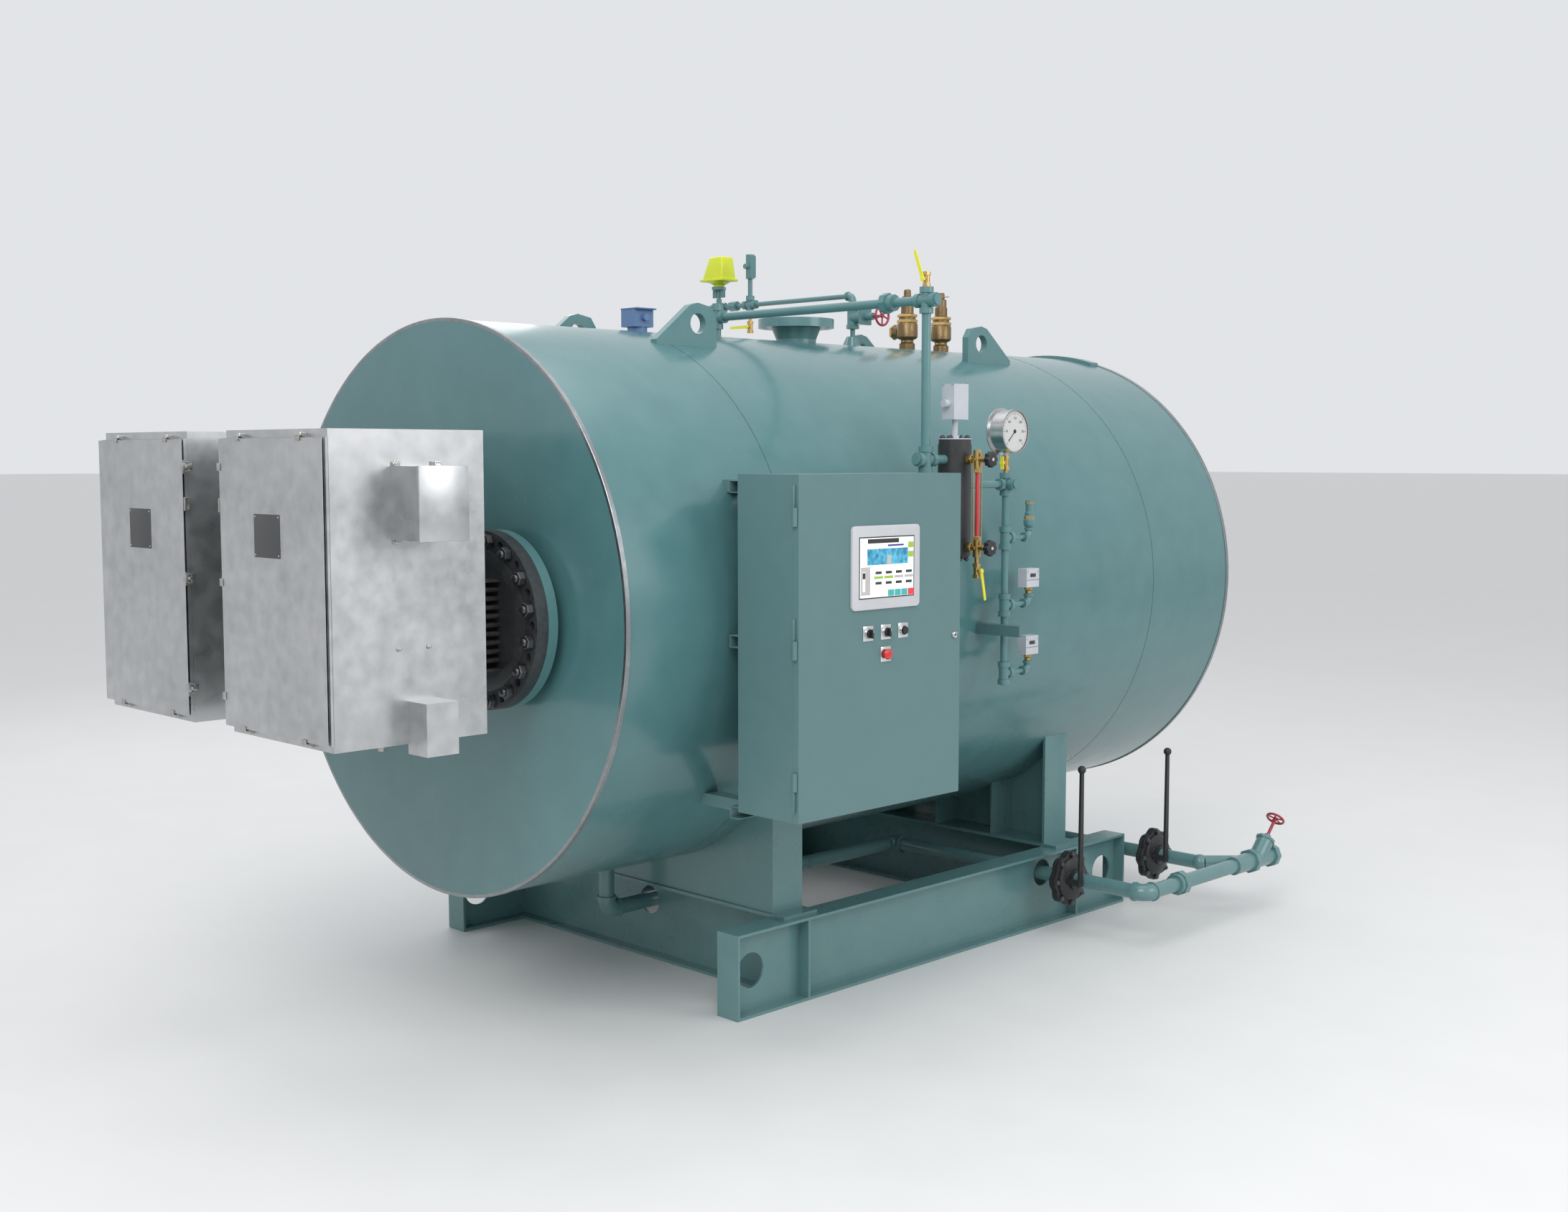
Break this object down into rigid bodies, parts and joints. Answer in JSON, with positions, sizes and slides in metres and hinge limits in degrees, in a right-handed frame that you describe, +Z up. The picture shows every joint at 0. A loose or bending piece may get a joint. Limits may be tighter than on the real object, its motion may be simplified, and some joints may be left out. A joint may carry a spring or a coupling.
{
  "type": "electric steam boiler",
  "caption": "Horizontal electric steam boiler on a beam skid, with front element flanges and terminal boxes, side control panel, water column, safety valves and blowdown piping.",
  "frame": {"origin": "on the floor, midway between the side beams, under the web of the front cross beam", "axes": "+X to the control panel's side, +Y along the vessel from its element end to its rear, +Z up"},
  "size_m": [2.4175, 4.4454, 2.892],
  "materials": {
    "teal_paint": "satin",
    "panel_paint": "satin",
    "bright_trim": "satin",
    "dark_flange": "matt",
    "element_sheath": "satin",
    "stainless": "brushed",
    "grey_bezel": "satin",
    "black_plastic": "matt",
    "red_plastic": "gloss",
    "brass": "polished",
    "bronze": "cast",
    "yellow_grip": "gloss",
    "yellow_cover": "gloss",
    "column_black": "satin",
    "grey_housing": "satin",
    "gauge_glass": "clear",
    "gauge_steel": "polished",
    "red_wheel": "gloss",
    "blue_housing": "satin",
    "black_iron": "satin"
  },
  "bodies": {
    "boiler": {"ball_valves": "brass", "blowdown_header": "teal_paint", "blowdown_valves": "black_iron", "conduit_body": "teal_paint", "control_manifold": "teal_paint", "cross_beams": "teal_paint", "element_banks": "element_sheath", "element_flanges": "dark_flange", "element_nozzles": "teal_paint", "equalizing_line": "teal_paint", "feed_actuator": "yellow_cover", "feed_line": "teal_paint", "front_drain": "teal_paint", "front_head": "teal_paint", "gate_valve": "teal_paint", "gauge_glass": "gauge_glass", "gauge_glass_valves": "brass", "jacket_front": "teal_paint", "jacket_middle": "teal_paint", "jacket_rear": "teal_paint", "level_probe_head": "grey_housing", "level_switch": "blue_housing", "lifting_lugs": "teal_paint", "panel_box": "panel_paint", "panel_struts": "panel_paint", "pressure_gauge": "gauge_steel", "pressure_limits": "grey_housing", "rear_crown_plate": "teal_paint", "rear_drain": "teal_paint", "rear_head": "teal_paint", "relief_valve": "teal_paint", "saddles": "teal_paint", "safety_valves": "bronze", "side_beam_left": "teal_paint", "side_beam_right": "teal_paint", "side_boxes": "stainless", "steam_outlet": "teal_paint", "terminal_box_left": "stainless", "terminal_box_right": "stainless", "trim_rings": "bright_trim", "water_column": "column_black"},
    "panel_door": {"panel_door": "panel_paint", "operator_panel": "grey_bezel"},
    "terminal_door_right": {"terminal_door_right": "stainless"},
    "terminal_door_left": {"terminal_door_left": "stainless"},
    "selector_left": {"selector_left": "black_plastic"},
    "selector_middle": {"selector_middle": "black_plastic"},
    "selector_right": {"selector_right": "black_plastic"},
    "stop_button": {"stop_button": "red_plastic"},
    "vent_lever": {"vent_lever": "yellow_grip"},
    "feed_drain_lever": {"feed_drain_lever": "yellow_grip"},
    "column_drain_lever": {"column_drain_lever": "yellow_grip"},
    "gauge_cock_handle": {"gauge_cock_handle": "yellow_grip"},
    "blowdown_lever_front": {"blowdown_lever_front": "black_iron"},
    "blowdown_lever_rear": {"blowdown_lever_rear": "black_iron"},
    "gate_wheel": {"gate_wheel": "red_wheel"},
    "blowdown_wheel": {"blowdown_wheel": "red_wheel"},
    "gauge_knob_upper": {"gauge_knob_upper": "black_plastic"},
    "gauge_knob_lower": {"gauge_knob_lower": "black_plastic"}
  },
  "joints": [
    {"name": "panel_door_swing", "type": "hinge", "parent": "boiler", "child": "panel_door", "pos_m": [1.336, -0.5405, 1.354], "axis": [0, 0, -1], "range_deg": [0, 110]},
    {"name": "terminal_door_right_swing", "type": "hinge", "parent": "boiler", "child": "terminal_door_right", "pos_m": [0.7305, -1.8349, 1.5755], "axis": [0, 0, 1], "range_deg": [0, 120]},
    {"name": "terminal_door_left_swing", "type": "hinge", "parent": "boiler", "child": "terminal_door_left", "pos_m": [-0.7305, -1.8349, 1.5755], "axis": [0, 0, -1], "range_deg": [0, 120]},
    {"name": "selector_left_turn", "type": "hinge", "parent": "panel_door", "child": "selector_left", "pos_m": [1.36, -0.213, 1.386], "axis": [1, 0, 0], "range_deg": [-45, 45]},
    {"name": "selector_middle_turn", "type": "hinge", "parent": "panel_door", "child": "selector_middle", "pos_m": [1.36, -0.126, 1.386], "axis": [1, 0, 0], "range_deg": [-45, 45]},
    {"name": "selector_right_turn", "type": "hinge", "parent": "panel_door", "child": "selector_right", "pos_m": [1.36, -0.039, 1.386], "axis": [1, 0, 0], "range_deg": [-45, 45]},
    {"name": "stop_button_press", "type": "slide", "parent": "panel_door", "child": "stop_button", "axis": [-1, 0, 0], "range_m": [0, 0.006], "stiffness_N_per_m": 800, "springref_m": -0.002},
    {"name": "vent_lever_turn", "type": "hinge", "parent": "boiler", "child": "vent_lever", "pos_m": [1.1, 0.348, 2.5977], "axis": [0, -1, 0], "range_deg": [-20, 70]},
    {"name": "feed_drain_lever_turn", "type": "hinge", "parent": "boiler", "child": "feed_drain_lever", "pos_m": [-0.64, 1.151, 2.56], "axis": [0, -1, 0], "range_deg": [0, 90]},
    {"name": "column_drain_lever_turn", "type": "hinge", "parent": "boiler", "child": "column_drain_lever", "pos_m": [1.228, 0.534, 1.553], "axis": [1, 0, 0], "range_deg": [-12, 78]},
    {"name": "gauge_cock_turn", "type": "hinge", "parent": "boiler", "child": "gauge_cock_handle", "pos_m": [1.1, 0.817, 1.944], "axis": [0, -1, 0], "range_deg": [0, 90]},
    {"name": "blowdown_lever_front_swing", "type": "hinge", "parent": "boiler", "child": "blowdown_lever_front", "pos_m": [1.065, 1.41, 0.214], "axis": [1, 0, 0], "range_deg": [0, 60]},
    {"name": "blowdown_lever_rear_swing", "type": "hinge", "parent": "boiler", "child": "blowdown_lever_rear", "pos_m": [1.065, 2.045, 0.214], "axis": [1, 0, 0], "range_deg": [0, 60]},
    {"name": "gate_wheel_turn", "type": "hinge", "parent": "boiler", "child": "gate_wheel", "pos_m": [0.171, 1.172, 2.567], "axis": [1, 0, 0], "range_deg": [0, 1620]},
    {"name": "blowdown_wheel_turn", "type": "hinge", "parent": "boiler", "child": "blowdown_wheel", "pos_m": [1.345, 2.33, 0.214], "axis": [0, 0.7071, 0.7071], "range_deg": [0, 1260]},
    {"name": "gauge_knob_upper_turn", "type": "hinge", "parent": "boiler", "child": "gauge_knob_upper", "pos_m": [1.262, 0.534, 1.957], "axis": [1, 0, 0], "range_deg": [0, 630]},
    {"name": "gauge_knob_lower_turn", "type": "hinge", "parent": "boiler", "child": "gauge_knob_lower", "pos_m": [1.262, 0.534, 1.637], "axis": [1, 0, 0], "range_deg": [0, 630]}
  ]
}
